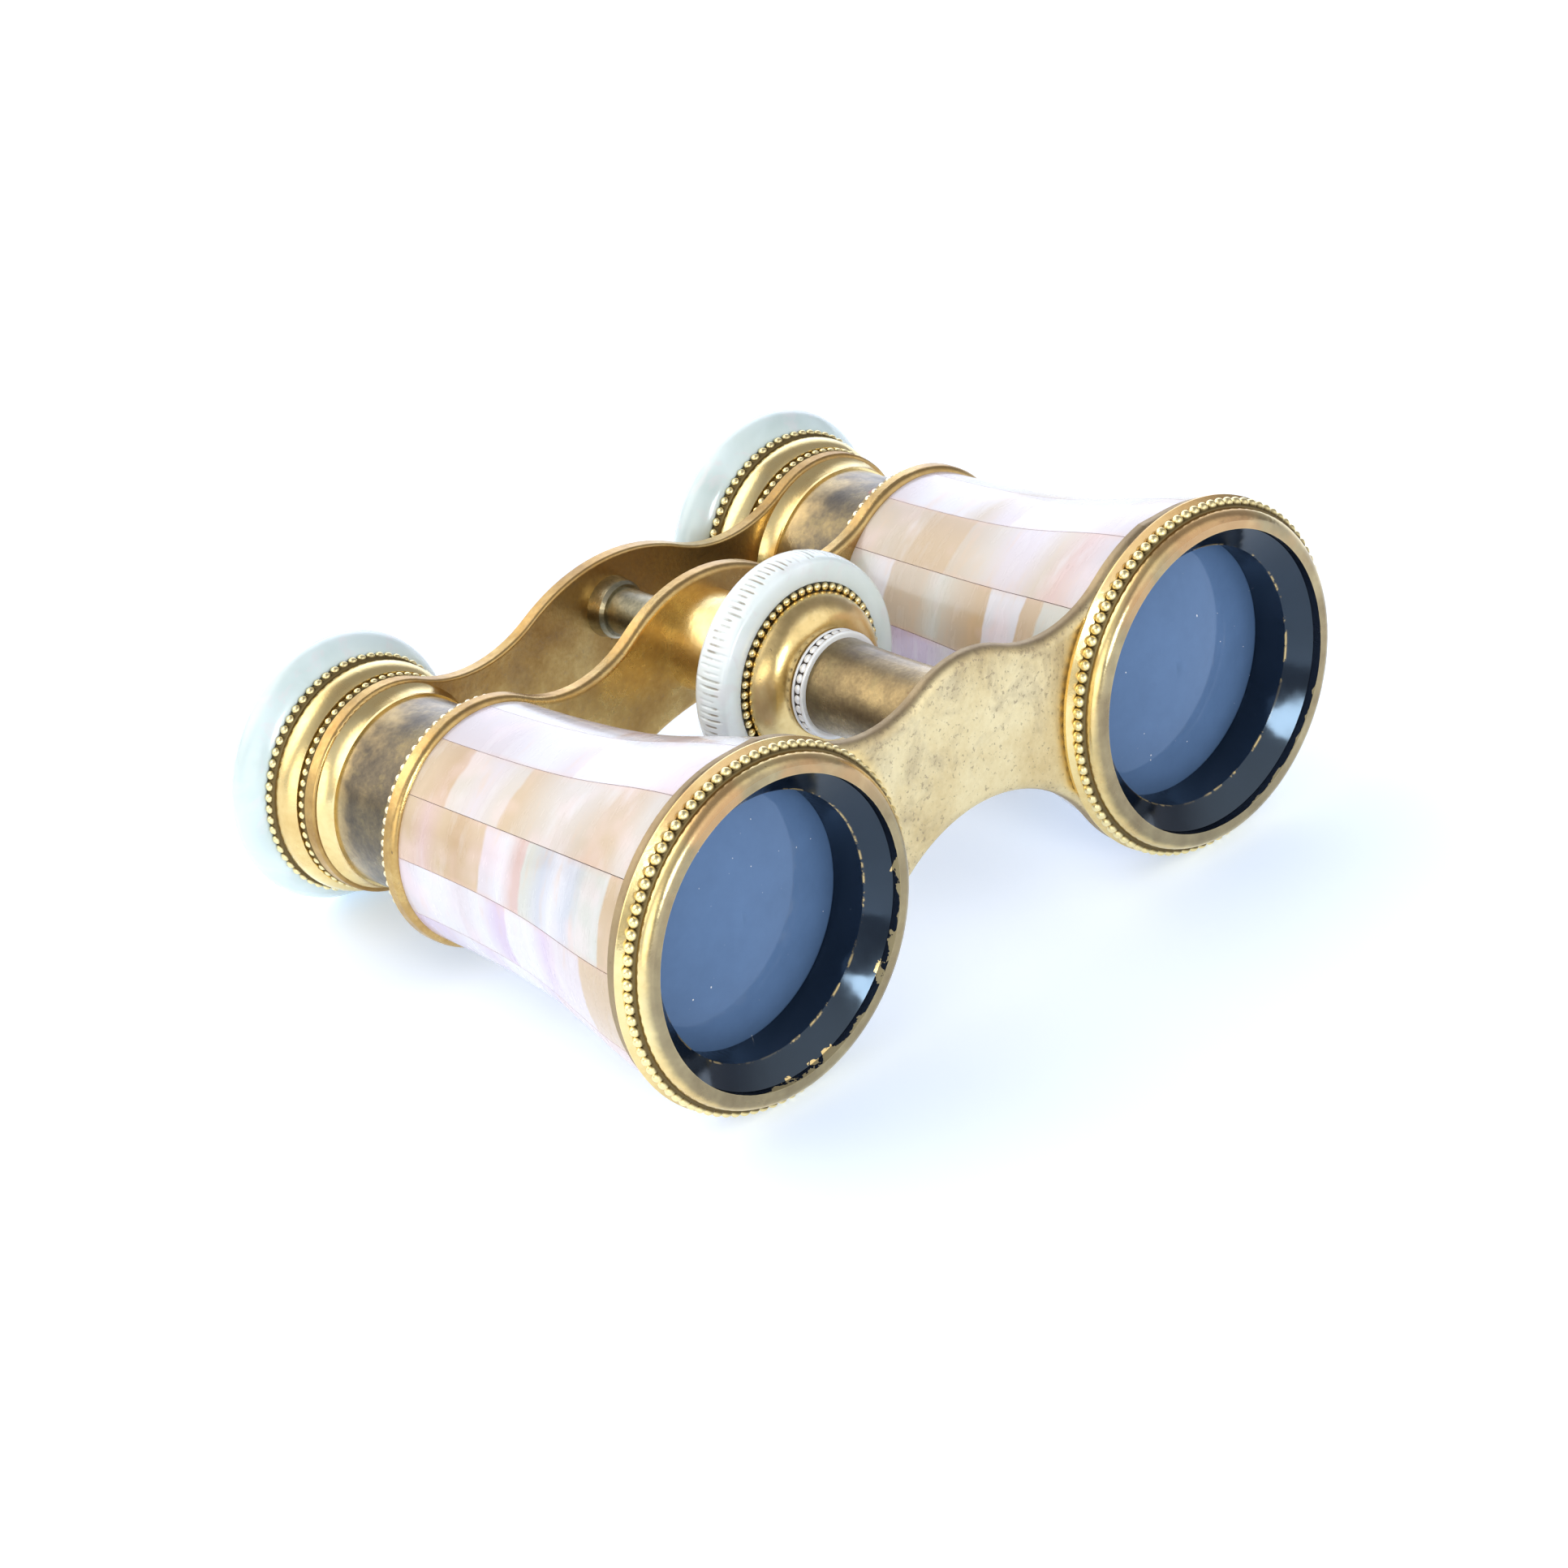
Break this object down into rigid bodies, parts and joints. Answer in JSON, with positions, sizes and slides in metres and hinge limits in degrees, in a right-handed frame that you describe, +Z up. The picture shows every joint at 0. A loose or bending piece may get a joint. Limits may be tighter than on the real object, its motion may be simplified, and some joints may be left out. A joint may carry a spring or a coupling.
{
  "type": "opera glasses",
  "caption": "Pair of vintage opera glasses with pearl-clad flared barrels, beaded gilt brass bridges, pearl eyecups and a centre focus wheel on a column.",
  "frame": {"origin": "under the middle of the glasses, level with the lowest points of the objectives' flanges", "axes": "+X towards the wearer's left telescope, +Y from the objectives to the eyepieces, +Z up"},
  "size_m": [0.0994, 0.0666, 0.0382],
  "materials": {
    "gilt_brass": "polished gilding, worn on raised beads",
    "satin_brass": "matte gilding with dark specks",
    "worn_brass": "tarnished, mottled brass",
    "pearl_slats": "polished mother-of-pearl, pink and tan bands",
    "pale_pearl": "polished white mother-of-pearl",
    "black_lacquer": "glossy black paint, chipped at the rim",
    "lens_glass": "polished, uncoated"
  },
  "bodies": {
    "body": {"barrel_tube_left": "worn_brass", "barrel_tube_right": "worn_brass", "column_bead_ring": "gilt_brass", "column_boss": "worn_brass", "column_tube": "worn_brass", "front_bridge": "satin_brass", "guide_sleeve_left": "black_lacquer", "guide_sleeve_right": "black_lacquer", "middle_bridge": "satin_brass", "neck_bead_ring_left": "gilt_brass", "neck_bead_ring_right": "gilt_brass", "objective_bead_ring_left": "gilt_brass", "objective_bead_ring_right": "gilt_brass", "objective_bezel_left": "gilt_brass", "objective_bezel_right": "gilt_brass", "objective_crown_left": "lens_glass", "objective_crown_right": "lens_glass", "objective_flint_left": "lens_glass", "objective_flint_right": "lens_glass", "objective_retainer_left": "black_lacquer", "objective_retainer_right": "black_lacquer", "pearl_slats_left": "pearl_slats", "pearl_slats_right": "pearl_slats"},
    "focus_wheel": {"focus_nut": "worn_brass", "pearl_wheel": "pale_pearl", "wheel_back_plate": "gilt_brass", "wheel_bead_ring": "gilt_brass", "wheel_hub": "gilt_brass"},
    "eyepiece_carriage": {"collar_bead_ring_left": "gilt_brass", "collar_bead_ring_right": "gilt_brass", "draw_tube_left": "worn_brass", "draw_tube_right": "worn_brass", "eyecup_bead_ring_left": "gilt_brass", "eyecup_bead_ring_right": "gilt_brass", "eyecup_left": "pale_pearl", "eyecup_right": "pale_pearl", "eyepiece_cell_left": "gilt_brass", "eyepiece_cell_right": "gilt_brass", "focus_screw": "worn_brass", "ocular_lens_left": "lens_glass", "ocular_lens_right": "lens_glass", "ocular_retainer_left": "black_lacquer", "ocular_retainer_right": "black_lacquer", "rear_bridge": "satin_brass", "rod_ferrule": "worn_brass", "rod_screw": "worn_brass", "stop_ring_left": "black_lacquer", "stop_ring_right": "black_lacquer", "tube_collar_left": "gilt_brass", "tube_collar_right": "gilt_brass"}
  },
  "joints": [
    {"name": "focus_wheel_turn", "type": "hinge", "parent": "body", "child": "focus_wheel", "pos_m": [0, -0.00485, 0.02595], "axis": [0, 1, 0], "range_deg": [-270.5, 150.5]},
    {"name": "eyepiece_slide", "type": "slide", "parent": "body", "child": "eyepiece_carriage", "axis": [0, 1, 0], "range_m": [-0.009, 0.005]}
  ],
  "couplings": [
    {"joint": "focus_wheel_turn", "follows": "eyepiece_slide", "rad_per_m": 523.6}
  ]
}
